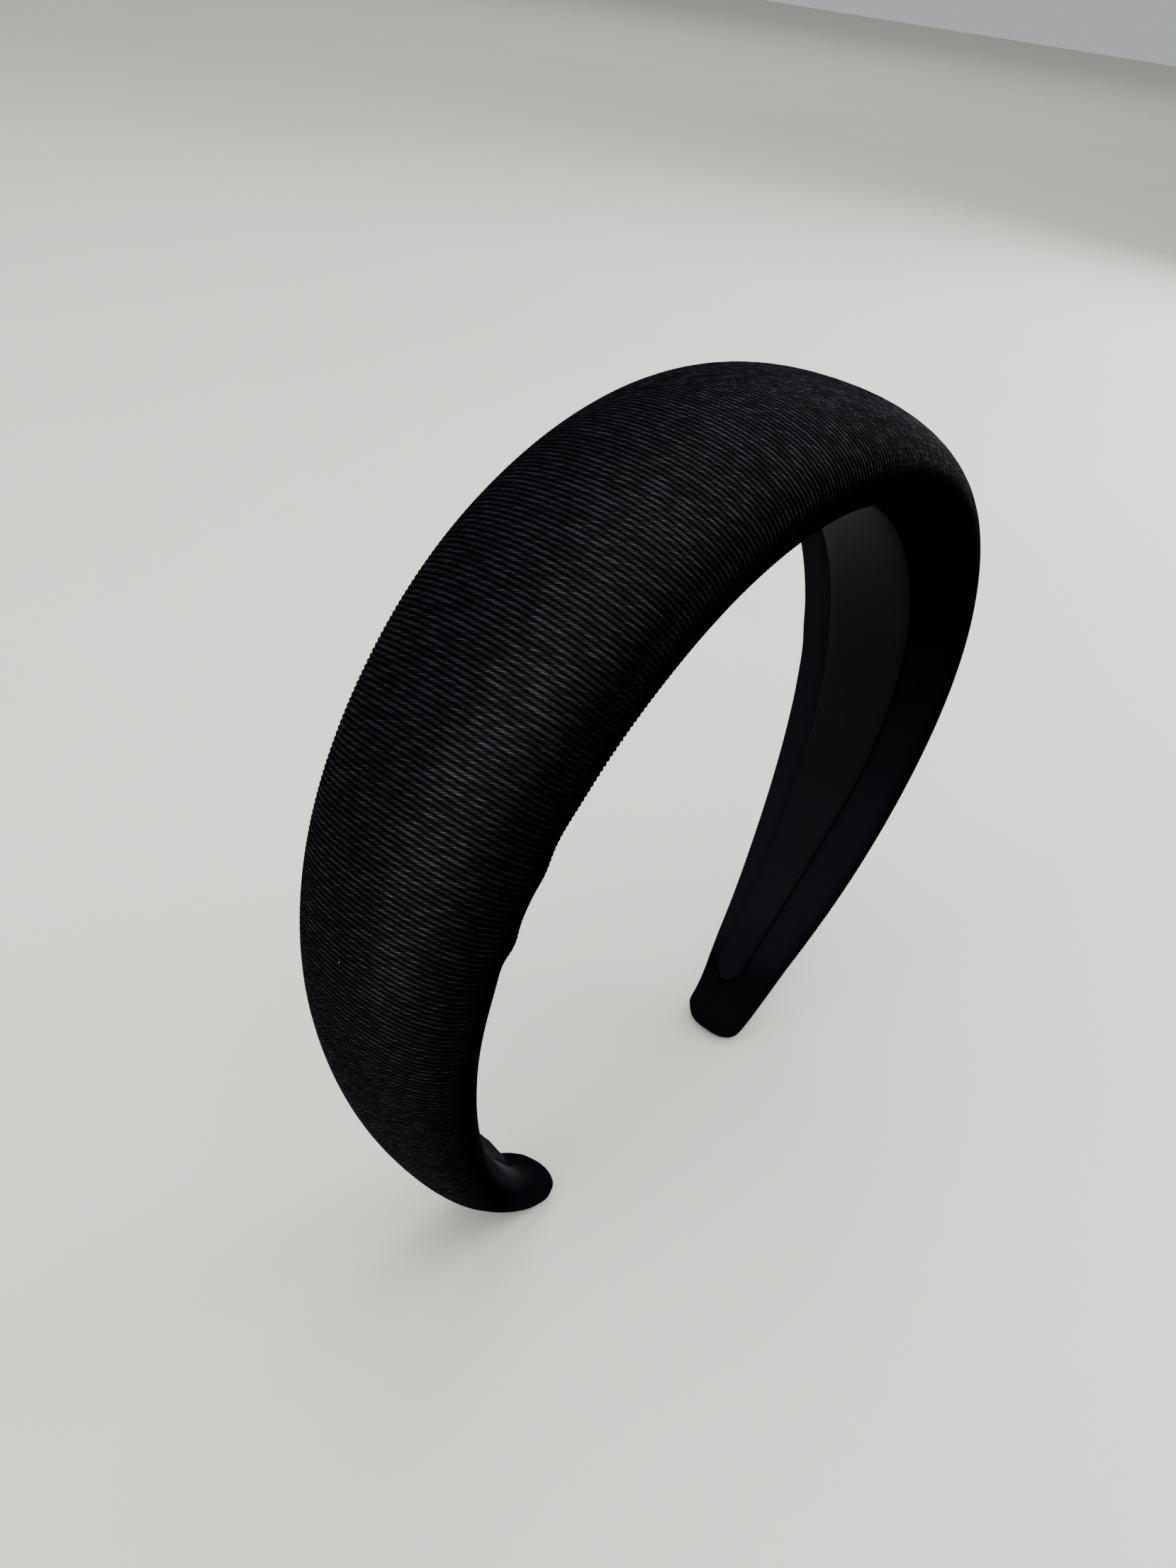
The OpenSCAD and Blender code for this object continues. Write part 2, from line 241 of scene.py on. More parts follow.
def section_sizes(length, inset):
    """Sizes of a skin's section at a length: inset is its depth under the outside of the cloth."""
    left = HALF_LEN - inset - np.abs(length)
    plan = rounded(left, TIP_ROUND - inset)
    half_w = (BAND_W / 2 * read(WIDTH, length) - inset) * plan
    whole_t = BAND_T * read(THICK, length) - 2 * inset
    thick = whole_t * rounded(left, TIP_BLUNT)
    base = inset + (whole_t - thick) / 2
    share = (read(BELLY, length) * (whole_t + 2 * inset) - inset) / whole_t
    belly = base + thick * np.maximum(LEAST_BELLY, share)
    seat = base + SEAT_DEPTH * (1 - eased((np.abs(length) - SEAT_LEN) / SEAT_ROLL))
    middle = LINING_BACK * read(BACK, length) * plan
    edge = np.minimum(lining_half(length) + PIECE_GAP + EDGE_INSET * inset, MOST_EDGE * half_w - np.abs(middle))
    lip = np.minimum(SLOT_SHARE * lining_half(length), MOST_LIP * edge)
    return {"half_w": half_w, "base": base, "top": base + thick, "belly": belly, "seat": seat,
            "middle": middle, "edge": edge, "lip": lip, "power": 2 / (FULLNESS * read(FULL, length))}


def half_columns(sizes, side):
    """Half a section from the slot's lip to the last column before the top, as (across, out) columns."""
    middle = side * sizes["middle"]
    reach = np.minimum(sizes["edge"] + SEAT_ROLL, MOST_REACH * sizes["half_w"] - np.abs(middle))
    margin = middle + reach
    half_w, base, belly = sizes["half_w"], sizes["base"], sizes["belly"]
    columns = [
        (side * (middle + sizes["lip"]), sizes["seat"]),
        (side * (middle + sizes["edge"]), sizes["seat"]),
        (side * margin, base),
    ]
    for k in range(1, CORNER_STEPS + 1):
        q = math.pi / 2 * k / CORNER_STEPS
        columns.append((side * (margin + (half_w - margin) * math.sin(q)),
                        base + (belly - base) * (1 - math.cos(q))))
    for k in range(1, DOME_STEPS):
        q = math.pi / 2 * k / DOME_STEPS
        columns.append((side * half_w * math.cos(q) ** sizes["power"],
                        belly + (sizes["top"] - belly) * math.sin(q) ** sizes["power"]))
    return columns


def skin_columns(length, inset):
    """A section as a list of (across, out) columns from the slot's back lip over the top to its front lip."""
    sizes = section_sizes(length, inset)
    top = (0.0 * sizes["top"], sizes["top"])
    return half_columns(sizes, 1) + [top] + half_columns(sizes, -1)[::-1]


def toe_bend(length, across, out):
    """How far the near toe's back edge is pressed in towards the head."""
    back = eased((across - TOE_FRONT) / TOE_WIDE)
    inner = 1 - np.clip(out / TOE_DEEP, 0, 1)
    return sum(inwards * bump(length - at, reach) for inwards, at, reach in TOE_BENDS) * back * inner


def on_band(length, across, out):
    """Points of the band, at a length, a place across the band and a height out of the hoop's line."""
    out = out - toe_bend(length, across, out)
    along = np.abs(length)
    line = hoop_point(along)
    heading = hoop_heading(along)
    x = np.sign(length) * (line[..., 0] + out * np.sin(heading))
    z = line[..., 1] + out * np.cos(heading) + LIFT
    return np.stack([x, across - TIP_SWAY * read(SWAY, length), z], -1)


def skin(lengths, inset):
    """Rings of points of a skin. lengths has one value for each ring, or one for each ring and column."""
    if lengths.ndim == 1:
        count = 2 * (SEAT_COLUMNS + CORNER_STEPS + DOME_STEPS - 1) + 1
        lengths = np.repeat(lengths[:, None], count, 1)
    columns = []
    for j in range(lengths.shape[1]):
        across, out = skin_columns(lengths[:, j], inset)[j]
        columns.append(on_band(lengths[:, j], across, out))
    return np.stack(columns, 1)


def outward(rings):
    """Unit normals of a grid of rings, out of the band."""
    along = np.gradient(rings, axis=0)
    round_it = np.gradient(rings, axis=1)
    normals = np.cross(along, round_it)
    normals /= np.maximum(np.linalg.norm(normals, axis=2, keepdims=True), 1e-9)
    top = rings.shape[1] // 2
    middle = rings.shape[0] // 2
    return normals if normals[middle, top, 2] > 0 else -normals


# Meshes

def grid_faces(rings, columns, closed):
    """Quads of a grid of rings; closed joins the last column to the first."""
    i, j = np.meshgrid(np.arange(rings - 1), np.arange(columns if closed else columns - 1), indexing="ij")
    nxt = (j + 1) % columns
    quads = np.stack([i * columns + j, (i + 1) * columns + j, (i + 1) * columns + nxt, i * columns + nxt], -1)
    return quads.reshape(-1, 4).tolist()


def with_ends(rings, faces):
    """Points and faces of a grid of rings whose two ends are closed round a middle point each."""
    count, columns = rings.shape[:2]
    ends = []
    for ring, tip in ((0, -1), (count - 1, 1)):
        pole = count * columns + len(ends)
        ends.append(rings[ring].mean(0))
        fan = [[ring * columns + j, ring * columns + (j + 1) % columns, pole] for j in range(columns)]
        faces = faces + (fan if tip > 0 else [face[::-1] for face in fan])
    return np.concatenate([rings.reshape(-1, 3), ends]), faces


def new_piece(name, points, faces, material):
    """A smooth mesh object from points in millimetres."""
    mesh = bpy.data.meshes.new(name)
    mesh.from_pydata((np.asarray(points) * MM).tolist(), [], faces)
    mesh.polygons.foreach_set("use_smooth", [True] * len(mesh.polygons))
    if material:
        mesh.materials.append(material)
    mesh.update()
    piece = bpy.data.objects.new(name, mesh)
    bpy.context.scene.collection.objects.link(piece)
    return piece


def keep_values(piece, name, kind, values):
    """Stores values at each vertex for the material, such as the place along the band and round it."""
    made = piece.data.attributes.new(name, kind, "POINT")
    field = "vector" if kind == "FLOAT_VECTOR" else "value"
    made.data.foreach_set(field, np.asarray(values, np.float32).ravel())


def open_columns(columns):
    """How free each column is of the seat under the ribbon: 0 at the slot, 1 on the sides and outer face."""
    column = np.minimum(np.arange(columns), np.arange(columns)[::-1])
    return eased((column - SEAT_COLUMNS + 1) / CORNER_STEPS)


def swelling():
    """Lengths, and how far the padding swells the cloth at each ring and column more or less than evenly."""
    lengths = np.linspace(-(HALF_LEN - SWELL_STOP), HALF_LEN - SWELL_STOP, SWELL_RINGS)
    start = skin(lengths, SWELL_START)
    normals = outward(start)
    rings, columns = start.shape[:2]
    faces = grid_faces(rings, columns, True)
    faces += [list(range(columns)), list(range((rings - 1) * columns, rings * columns))[::-1]]
    form = new_piece("swelling_form", start.reshape(-1, 3), faces, None)
    free = open_columns(columns)[None] * eased((HALF_LEN - np.abs(lengths) - SWELL_HELD) / SWELL_ENDS)[:, None]
    held = form.vertex_groups.new(name="held")
    for k, share in enumerate(free.ravel().tolist()):
        held.add([k], 1 - share, "REPLACE")
    cloth = form.modifiers.new("Cloth", "CLOTH")
    cloth.settings.use_pressure = True
    cloth.settings.uniform_pressure_force = SWELL_PRESSURE
    cloth.settings.vertex_group_mass = "held"
    cloth.settings.effector_weights.gravity = 0
    cloth.point_cache.frame_start, cloth.point_cache.frame_end = 1, SWELL_FRAMES
    scene = bpy.context.scene
    for moment in range(1, SWELL_FRAMES + 1):
        scene.frame_set(moment)
    swollen = form.evaluated_get(bpy.context.evaluated_depsgraph_get()).to_mesh()
    after = np.empty(rings * columns * 3)
    swollen.vertices.foreach_get("co", after)
    mesh = form.data
    bpy.data.objects.remove(form)
    bpy.data.meshes.remove(mesh)
    scene.frame_set(1)
    rise = ((after.reshape(start.shape) / MM - start) * normals).sum(2)
    rise = (rise - np.median(rise[free > SWELL_FREE])) * free
    return lengths, np.clip(rise, -SWELL_CAP, SWELL_CAP)


def swell_at(swell, lengths):
    """The swelling read at other lengths, column by column."""
    knots, rise = swell
    return np.stack([np.interp(lengths, knots, rise[:, j]) for j in range(rise.shape[1])], 1)


def puckers(lengths, columns):
    """Height of the small puckers at each ring and column."""
    column = np.arange(columns)[None]
    height = np.zeros((len(lengths), columns))
    for at, place, rise, reach, wide in PUCKERS:
        height += rise * bump(lengths[:, None] - at, reach) * bump(column - place, wide)
    return height


def rib_lengths():
    """Lengths of the rings, with closer ones at the two ends, and the number of each ring within the ribs."""
    last = int((HALF_LEN - LAST_RIB) / (RIB_PITCH / RIB_RINGS))
    numbers = np.arange(-last, last + 1)
    ends = HALF_LEN - COVER_ENDS
    at_ends = [0] * len(ends)
    return (np.concatenate([-ends[::-1], numbers * RIB_PITCH / RIB_RINGS, ends]),
            np.concatenate([at_ends, numbers, at_ends]))


def cloth_facing(lengths, facing_out):
    """For the material: how far the cloth faces outwards, up to 1, and how much painted light makes it paler
    inside, down to -1.
    """
    columns = facing_out.shape[1]
    column = np.arange(columns)[None]
    along = np.abs(lengths)[:, None]
    to_tip = eased((HALF_LEN - along - RIB_FADE_END) / SHEEN_FADE)
    outer = np.clip(facing_out, 0, 1) * (TOE_SHARE + (1 - TOE_SHARE) * to_tip)
    # Painted shade: on the front edge the painted light begins only along the legs, so the front edge under the
    # crown stays darker, and near the tips the painted light fades
    front = FRONT_PALE + (1 - FRONT_PALE) * eased((along - FRONT_PALE_FROM) / FRONT_PALE_REACH)
    dull = TIP_DULL * eased((along - TIP_DULL_FROM) / TIP_DULL_REACH)
    painted_paleness = np.where(column < columns // 2, 1.0, front) * (1 - dull)
    inner = eased((-facing_out - INNER_FROM) / INNER_REACH) * painted_paleness
    toe = 1 - eased((HALF_LEN - along - RIB_FADE_END) / RIB_FADE)
    # Painted light bounced from the floor: the sides of the toes go paler, and matt
    sides = eased((SIDES_FROM - facing_out) / SIDES_REACH) * (1 - SIDES_INSIDE * eased(-2 * facing_out))
    return np.maximum(outer - inner - SIDES_MATT_AND_PAINTED_LIGHT * toe * sides, -1)


def pressed_smooth(lengths, columns):
    """How smooth the cloth is pressed at each ring and column."""
    column = np.arange(columns)[None]
    return bump(lengths[:, None] - PRESSED_AT, PRESSED_REACH) * bump(column - PRESSED_COLUMN, PRESSED_WIDE)


def ribbed_cover(cloth, swell):
    """The ribbed cloth, open along the slot in its inner face."""
    lengths, numbers = rib_lengths()
    plain = skin(lengths, 0.0)
    spread = lengths[:, None] * (1 + RIB_BOW * plain[..., 1] ** 2)
    limit = lengths[-1]
    straight = np.abs(lengths)[:, None] > HALF_LEN - STRAIGHT_LEN
    bowed = np.where(straight, lengths[:, None], np.clip(spread, -limit, limit))
    rings = skin(bowed, 0.0)
    normals = outward(rings)
    columns = rings.shape[1]
    top = columns // 2

    # The cloth swells with its padding and keeps its puckers
    rings = rings + normals * (swell_at(swell, lengths) + puckers(lengths, columns))[..., None]
    normals = outward(rings)

    # Ribs stand out on the outer face, and flatten on the inner face and at the toes
    open_cloth = open_columns(columns)
    to_tip = HALF_LEN - np.abs(lengths)
    toe_cloth = TOE_SHARE + (1 - TOE_SHARE) * eased((to_tip - RIB_FADE_END) / RIB_FADE)
    open_cloth = open_cloth[None] * toe_cloth[:, None]
    near_tip = eased(to_tip / RIB_FADE_END)
    height = RIB_HEIGHT * RIB_FORM[numbers % RIB_RINGS][:, None] * open_cloth * near_tip[:, None]
    rings = rings + normals * height[..., None]
    rings[..., 2] = np.maximum(rings[..., 2], 0.0)

    count = len(lengths)
    girth = np.linalg.norm(np.diff(rings, axis=1), axis=2)
    girth = np.concatenate([np.zeros((count, 1)), np.cumsum(girth, 1)], 1)
    girth -= girth[:, top:top + 1]
    bridge = [[i * columns + columns - 1, (i + 1) * columns + columns - 1, (i + 1) * columns, i * columns]
              for i in range(count - 1) if min(abs(lengths[i]), abs(lengths[i + 1])) >= SLOT_LEN]
    points, faces = with_ends(rings, grid_faces(count, columns, False))
    piece = new_piece("ribbed_cover", points, faces + bridge, cloth)

    # What the material reads: the place on the cloth, which way it faces, by which it paints light and shade,
    # and where it is pressed smooth
    heading = hoop_heading(np.abs(lengths))[:, None]
    facing_x = np.sign(lengths)[:, None] * np.sin(heading) * normals[..., 0]
    facing = cloth_facing(lengths, facing_x + np.cos(heading) * normals[..., 2])
    place = np.stack([np.repeat(lengths[:, None], columns, 1), girth, facing], -1)
    place = np.concatenate([place.reshape(-1, 3), [[lengths[0], 0, 0], [lengths[-1], 0, 0]]])
    keep_values(piece, "cloth_place", "FLOAT_VECTOR", place)
    keep_values(piece, "cloth_pressed", "FLOAT", np.append(pressed_smooth(lengths, columns).ravel(), [0, 0]))
    return piece


def soft_core(foam, swell):
    """The soft core that fills the cover."""
    inset = COVER_T + PIECE_GAP
    reach = HALF_LEN - inset
    body = np.linspace(-(reach - CORE_BODY), reach - CORE_BODY, CORE_RINGS)
    ends = reach - CORE_ENDS
    lengths = np.concatenate([-ends[::-1], body, ends])
    rings = skin(lengths, inset)
    rings = rings + outward(rings) * swell_at(swell, lengths)[..., None]
    rings[..., 2] = np.maximum(rings[..., 2], inset)
    points, faces = with_ends(rings, grid_faces(*rings.shape[:2], True))
    return new_piece("soft_core", points, faces, foam)


def satin_lining(satin):
    """The ribbon along the inner face: a thin closed strip with rolled edges."""
    body = np.linspace(-(LINING_LEN - RIBBON_BODY), LINING_LEN - RIBBON_BODY, RIBBON_RINGS)
    ends = LINING_LEN - RIBBON_ENDS
    lengths = np.concatenate([-ends[::-1], body, ends])
    half = lining_half(lengths) * np.maximum(rounded(LINING_LEN - np.abs(lengths), RIBBON_ROUND), LEAST_RIBBON)
    middle = LINING_BACK * read(BACK, lengths)
    low, high = -LINING_PROUD, LINING_T - LINING_PROUD
    shares = RIBBON_SHARES
    roll = np.sqrt(np.clip(1 - np.abs(shares) ** RIBBON_SQUARE, 0, 1))
    columns = []

    # The visible side first, from the front edge to the back edge, then the side that lies on the cover
    for share, r in zip(shares, roll):
        face = low + (1 - r) * LINING_T / 2
        spread = RIBBON_SPREAD * eased((share - SPREAD_FROM) / (1 - SPREAD_FROM)) * (1 + r) / 2
        columns.append(on_band(lengths, middle + half * share + spread, face + 0.0 * half))
    for share, r in list(zip(shares, roll))[-2:0:-1]:
        face = high - (1 - r) * LINING_T / 2
        columns.append(on_band(lengths, middle + half * share, face + 0.0 * half))
    rings = np.stack(columns, 1)
    count, width = rings.shape[:2]
    faces = grid_faces(count, width, True)
    for ring, tip in ((0, -1), (count - 1, 1)):
        cap = [ring * width + j for j in range(width)]
        faces.append(cap if tip > 0 else cap[::-1])
    piece = new_piece("satin_lining", rings.reshape(-1, 3), faces, satin)
    across = np.concatenate([shares, shares[-2:0:-1]])
    place = np.stack([np.repeat(lengths[:, None], width, 1), half[:, None] * across[None],
                      np.repeat(across[None], count, 0)], -1)
    keep_values(piece, "cloth_place", "FLOAT_VECTOR", place)
    return piece


# Materials. Colours are in linear light.

# Colours of the cloth: deep black, kept on the sides as painted shade; paler on the inner face as painted
# light; and the threads' paler colour, partly the weave and partly a painted highlight
DEEP_BLACK, INNER_BLACK = (0.00035, 0.0004, 0.0006, 1.0), (0.0042, 0.0044, 0.0056, 1.0)
THREAD_BLACK = (0.0108, 0.0111, 0.0138, 1.0)
CHARCOAL = (0.0029, 0.0031, 0.0041, 1.0)
CLOTH_LINT, RIBBON_LINT = (0.30, 0.30, 0.31, 1.0), (0.3, 0.3, 0.31, 1.0)
FOAM_DARK, FOAM_PALE = (0.022, 0.022, 0.024, 1.0), (0.05, 0.05, 0.053, 1.0)
FLOOR_DULL, FLOOR_PALE = (0.472, 0.463, 0.400, 1.0), (0.500, 0.490, 0.426, 1.0)

# The cloth faces outwards by these shares where its sheen and the painted highlight on its threads begin and
# are whole
SHEEN_FROM, SHEEN_WHOLE = 0.05, 0.6
PAINTED_LIT_FROM, PAINTED_LIT_WHOLE = 0.58, 0.95

# Lengths between which the ribbon's ends are worn rough, and how much rougher they are
WORN_FROM, WORN_WHOLE, WORN_ROUGH = 150.0, 168.0, 0.42


class Nodes:
    """Adds nodes to a material's or a group's tree and links them."""

    def __init__(self, tree):
        self.tree = tree

    def feed(self, node, inputs):
        """Gives a node its inputs: a socket is linked, anything else becomes the input's own value."""
        for name, value in inputs.items():
            if isinstance(value, bpy.types.NodeSocket):
                self.tree.links.new(value, node.inputs[name])
            else:
                node.inputs[name].default_value = value
        return node

    def add(self, kind, inputs=None, **settings):
        node = self.tree.nodes.new(kind)
        for name, value in settings.items():
            setattr(node, name, value)
        return self.feed(node, inputs or {})

    def group(self, group, **inputs):
        """Outputs of a shader group that is placed with its own values."""
        return self.add("ShaderNodeGroup", inputs, node_tree=group).outputs

    def stored(self, name, output):
        """Values that are stored at the vertices."""
        return self.add("ShaderNodeAttribute", attribute_name=name).outputs[output]

    def math(self, operation, a, b=0.0, clamp=False):
        return self.add("ShaderNodeMath", {0: a, 1: b}, operation=operation, use_clamp=clamp).outputs[0]

    def plus(self, a, b):
        return self.math("ADD", a, b)

    def less(self, a, b, clamp=False):
        return self.math("SUBTRACT", a, b, clamp)

    def times(self, a, b, clamp=False):
        return self.math("MULTIPLY", a, b, clamp)

    def over(self, a, b):
        return self.math("DIVIDE", a, b)

    def ramp(self, value, stops):
        """Colours at places along a value, for two places or more."""
        node = self.add("ShaderNodeValToRGB", {"Fac": value})
        for point, (at, colour) in zip(node.color_ramp.elements, stops):
            point.position = at
            point.color = colour
        return node.outputs["Color"]

    def smooth_step(self, value, low, high):
        return self.add("ShaderNodeMapRange", {"Value": value, "From Min": low, "From Max": high},
                        interpolation_type="SMOOTHSTEP").outputs[0]

    def mix(self, share, a, b):
        return self.add("ShaderNodeMix", {0: share, 6: a, 7: b}, data_type="RGBA").outputs[2]

    def relief(self, height, distance, strength):
        """Normals of a fine relief; the distance is in metres."""
        inputs = {"Height": height, "Distance": distance, "Strength": strength}
        return self.add("ShaderNodeBump", inputs).outputs["Normal"]


def new_group(name, inputs, outputs):
    """An empty shader group with named sockets; inputs is a list of (name, socket type, default)."""
    group = bpy.data.node_groups.new(name, "ShaderNodeTree")
    for label, kind, default in inputs:
        socket = group.interface.new_socket(label, in_out="INPUT", socket_type=kind)
        socket.default_value = default
    for label, kind in outputs:
        group.interface.new_socket(label, in_out="OUTPUT", socket_type=kind)
    nodes = Nodes(group)
    return group, nodes, nodes.add("NodeGroupInput").outputs, nodes.add("NodeGroupOutput")


def new_material(name):
    material = bpy.data.materials.new(name)
    material.use_nodes = True
    tree = material.node_tree
    tree.nodes.clear()
    nodes = Nodes(tree)
    shader = nodes.add("ShaderNodeBsdfPrincipled")
    nodes.add("ShaderNodeOutputMaterial", {"Surface": shader.outputs["BSDF"]})
    return material, nodes, shader


def uneven_dye():
    """Colour that drifts a little over the cloth."""
    group, nodes, given, out = new_group(
        "uneven_dye",
        [("Place", "NodeSocketVector", (0, 0, 0)), ("Colour", "NodeSocketColor", (0.5, 0.5, 0.5, 1.0)),
         ("Size", "NodeSocketFloat", 12.0), ("Amount", "NodeSocketFloat", 0.2)],
        [("Colour", "NodeSocketColor")])
    scale = nodes.over(1.0, given["Size"])
    noise = nodes.add("ShaderNodeTexNoise", {"Vector": given["Place"], "Scale": scale, "Detail": 3.0})
    drift = nodes.times(nodes.less(noise.outputs["Fac"], 0.5), given["Amount"])
    value = nodes.plus(1.0, nodes.times(drift, 2.0))
    toned = nodes.add("ShaderNodeHueSaturation", {"Value": value, "Color": given["Colour"]})
    nodes.feed(out, {"Colour": toned.outputs["Color"]})
    return group


def lint():
    """Sparse pale specks that cling to the cloth."""
    group, nodes, given, out = new_group(
        "lint",
        [("Place", "NodeSocketVector", (0, 0, 0)), ("Spacing", "NodeSocketFloat", 8.0),
         ("Radius", "NodeSocketFloat", 0.12)],
        [("Mask", "NodeSocketFloat")])
    scale = nodes.over(1.0, given["Spacing"])
    spots = nodes.add("ShaderNodeTexVoronoi", {"Vector": given["Place"], "Scale": scale}, feature="F1")
    reach = nodes.times(spots.outputs["Distance"], given["Spacing"])
    nodes.feed(out, {"Mask": nodes.less(1.0, nodes.over(reach, given["Radius"]), clamp=True)})
    return group


def thread_weave():
    """Slanted threads laid over rows: their height from 0 to 1, and how much each one catches the light."""
    row_shift, slow_drift, drift_scale = 0.5, 1.2, 0.45
    gap_height, crest_power, glint_power = 0.35, 0.9, 3.0
    liveliest = 1.6
    dash_by_row, dash_by_thread, dash_from, dash_steep = 5.3, 2.2, 0.34, 3.8
    group, nodes, given, out = new_group(
        "thread_weave",
        [("Place", "NodeSocketVector", (0, 0, 0)), ("Row", "NodeSocketFloat", 0.72),
         ("Stitch", "NodeSocketFloat", 0.8), ("Slant", "NodeSocketFloat", 0.5),
         ("Uneven", "NodeSocketFloat", 0.4), ("Dash", "NodeSocketFloat", 0.36)],
        [("Height", "NodeSocketFloat"), ("Glint", "NodeSocketFloat")])
    parts = nodes.add("ShaderNodeSeparateXYZ", {0: given["Place"]}).outputs
    row = nodes.over(parts["X"], given["Row"])
    number = nodes.math("FLOOR", nodes.plus(row, 0.5))
    inside = nodes.less(row, number)

    # The threads of a row are shifted against its neighbours', and drift slowly over the cloth
    shift = nodes.add("ShaderNodeTexWhiteNoise", {"W": number}, noise_dimensions="1D").outputs["Value"]
    slow = nodes.add("ShaderNodeTexNoise", {"Vector": given["Place"], "Scale": drift_scale, "Detail": 1.0})
    drift = nodes.plus(nodes.times(shift, row_shift), nodes.times(slow.outputs["Fac"], slow_drift))
    level = nodes.less(nodes.over(parts["Y"], given["Stitch"]), nodes.times(inside, given["Slant"]))
    along = nodes.plus(level, drift)
    thread = nodes.math("FLOOR", along)

    # A thread is round across, and its row is round over the rib
    arch = nodes.math("SINE", nodes.times(nodes.less(along, thread), math.pi))
    crest = nodes.math("COSINE", nodes.times(inside, math.pi))
    height = nodes.times(nodes.plus(gap_height, nodes.times(arch, 1 - gap_height)),
                         nodes.math("POWER", crest, crest_power))

    # Some threads catch more light than others
    plain = nodes.less(1.0, given["Uneven"])
    cell = nodes.add("ShaderNodeCombineXYZ", {0: number, 1: thread, 2: 0.0}).outputs[0]
    chance = nodes.add("ShaderNodeTexWhiteNoise", {"Vector": cell}, noise_dimensions="3D").outputs["Value"]
    lively = nodes.times(nodes.math("POWER", chance, 2.0), given["Uneven"])
    strength = nodes.plus(plain, nodes.times(lively, liveliest))

    # Each thread dips in and out of the face of its row, so it shows as short dashes
    spot = nodes.add("ShaderNodeCombineXYZ", {0: nodes.times(number, dash_by_row),
                                              1: nodes.over(parts["Y"], given["Dash"]),
                                              2: nodes.times(along, dash_by_thread)}).outputs[0]
    dips = nodes.add("ShaderNodeTexNoise", {"Vector": spot, "Scale": 1.0, "Detail": 1.0}).outputs["Fac"]
    dash = nodes.times(nodes.less(dips, dash_from), dash_steep, clamp=True)
    shown = nodes.plus(plain, nodes.times(dash, given["Uneven"]))
    glint = nodes.times(nodes.times(nodes.math("POWER", height, glint_power), strength), shown)
    nodes.feed(out, {"Height": height, "Glint": glint})
    return group


def ribbed_cloth(dye, specks, weave):
    """Black ribbed cloth with slanted threads and a soft sheen along its crown, partly a painted highlight in
    its colour.
    """
    material, nodes, shader = new_material("ribbed_cloth")
    place = nodes.stored("cloth_place", "Vector")
    turned = nodes.add("ShaderNodeSeparateXYZ", {0: place}).outputs["Z"]
    sheen = nodes.smooth_step(turned, SHEEN_FROM, SHEEN_WHOLE)
    # Mask of the painted highlight on the threads, where the cloth faces outwards
    painted_lit = nodes.smooth_step(turned, PAINTED_LIT_FROM, PAINTED_LIT_WHOLE)
    inner = nodes.times(turned, -1.0, clamp=True)
    threads = nodes.group(weave, Place=place, Row=RIB_PITCH, Stitch=0.95, Slant=2.9, Uneven=0.6)

    # Black, kept darkest on the sides as painted shade and paler on the inner face as painted light, with the
    # threads paler where they face outwards as a painted highlight
    shade = nodes.mix(inner, DEEP_BLACK, INNER_BLACK)
    tone = nodes.group(dye, Place=place, Colour=shade, Size=14.0, Amount=0.18)["Colour"]
    # Painted highlight: the threads' glint brightens their colour, most where the cloth faces outwards
    painted_glint = nodes.times(threads["Glint"], nodes.plus(nodes.times(painted_lit, 1.2), 0.1))
    bright = nodes.mix(painted_glint, tone, THREAD_BLACK)
    dust = nodes.group(specks, Place=place, Spacing=9.0, Radius=0.10)["Mask"]

    # The gloss lies on the threads along the outer face, where the cloth is drawn tightest
    shine = nodes.plus(nodes.times(threads["Glint"], 1.25), 0.05)
    gloss = nodes.times(nodes.times(shine, sheen), CLOTH_GLOSS)
    pressed = nodes.times(nodes.stored("cloth_pressed", "Fac"), PRESSED_GLOSS)
    raised = nodes.times(threads["Height"], nodes.plus(nodes.times(sheen, 0.8), 0.1))
    nodes.feed(shader, {
        "Base Color": nodes.mix(dust, bright, CLOTH_LINT), "Roughness": 0.8, "Specular IOR Level": 0.0,
        "Coat Weight": nodes.plus(gloss, pressed), "Coat Roughness": 0.30, "Coat IOR": 3.0,
        "Normal": nodes.relief(raised, 0.00008, 0.9)})
    return material


def charcoal_satin(dye, specks, weave):
    """Smooth charcoal ribbon with a fine close weave."""
    material, nodes, shader = new_material("charcoal_satin")
    place = nodes.stored("cloth_place", "Vector")
    threads = nodes.group(weave, Place=place, Row=0.28, Stitch=0.9, Slant=0.3)
    tone = nodes.group(dye, Place=place, Colour=CHARCOAL, Size=18.0, Amount=0.28)["Colour"]
    dust = nodes.group(specks, Place=place, Spacing=14.0, Radius=0.09)["Mask"]
    length = nodes.math("ABSOLUTE", nodes.add("ShaderNodeSeparateXYZ", {0: place}).outputs["X"])
    worn = nodes.times(nodes.smooth_step(length, WORN_FROM, WORN_WHOLE), WORN_ROUGH)
    rough = nodes.plus(nodes.less(0.5, nodes.times(threads["Glint"], 0.12)), worn)
    nodes.feed(shader, {
        "Base Color": nodes.mix(dust, tone, RIBBON_LINT), "Roughness": rough, "Specular IOR Level": 0.02,
        "Normal": nodes.relief(threads["Height"], 0.00003, 0.6)})
    return material


def soft_foam(dye):
    """Dark foam with fine open cells."""
    material, nodes, shader = new_material("soft_foam")
    where = nodes.add("ShaderNodeTexCoord").outputs["Object"]
    tone = nodes.group(dye, Place=where, Colour=FOAM_DARK, Size=0.01, Amount=0.2)["Colour"]
    spots = nodes.add("ShaderNodeTexVoronoi", {"Vector": where, "Scale": 1400.0}, feature="F1")
    cells = spots.outputs["Distance"]
    nodes.feed(shader, {
        "Base Color": nodes.mix(cells, tone, FOAM_PALE), "Roughness": 0.95,
        "Normal": nodes.relief(cells, 0.0003, 0.7)})
    return material


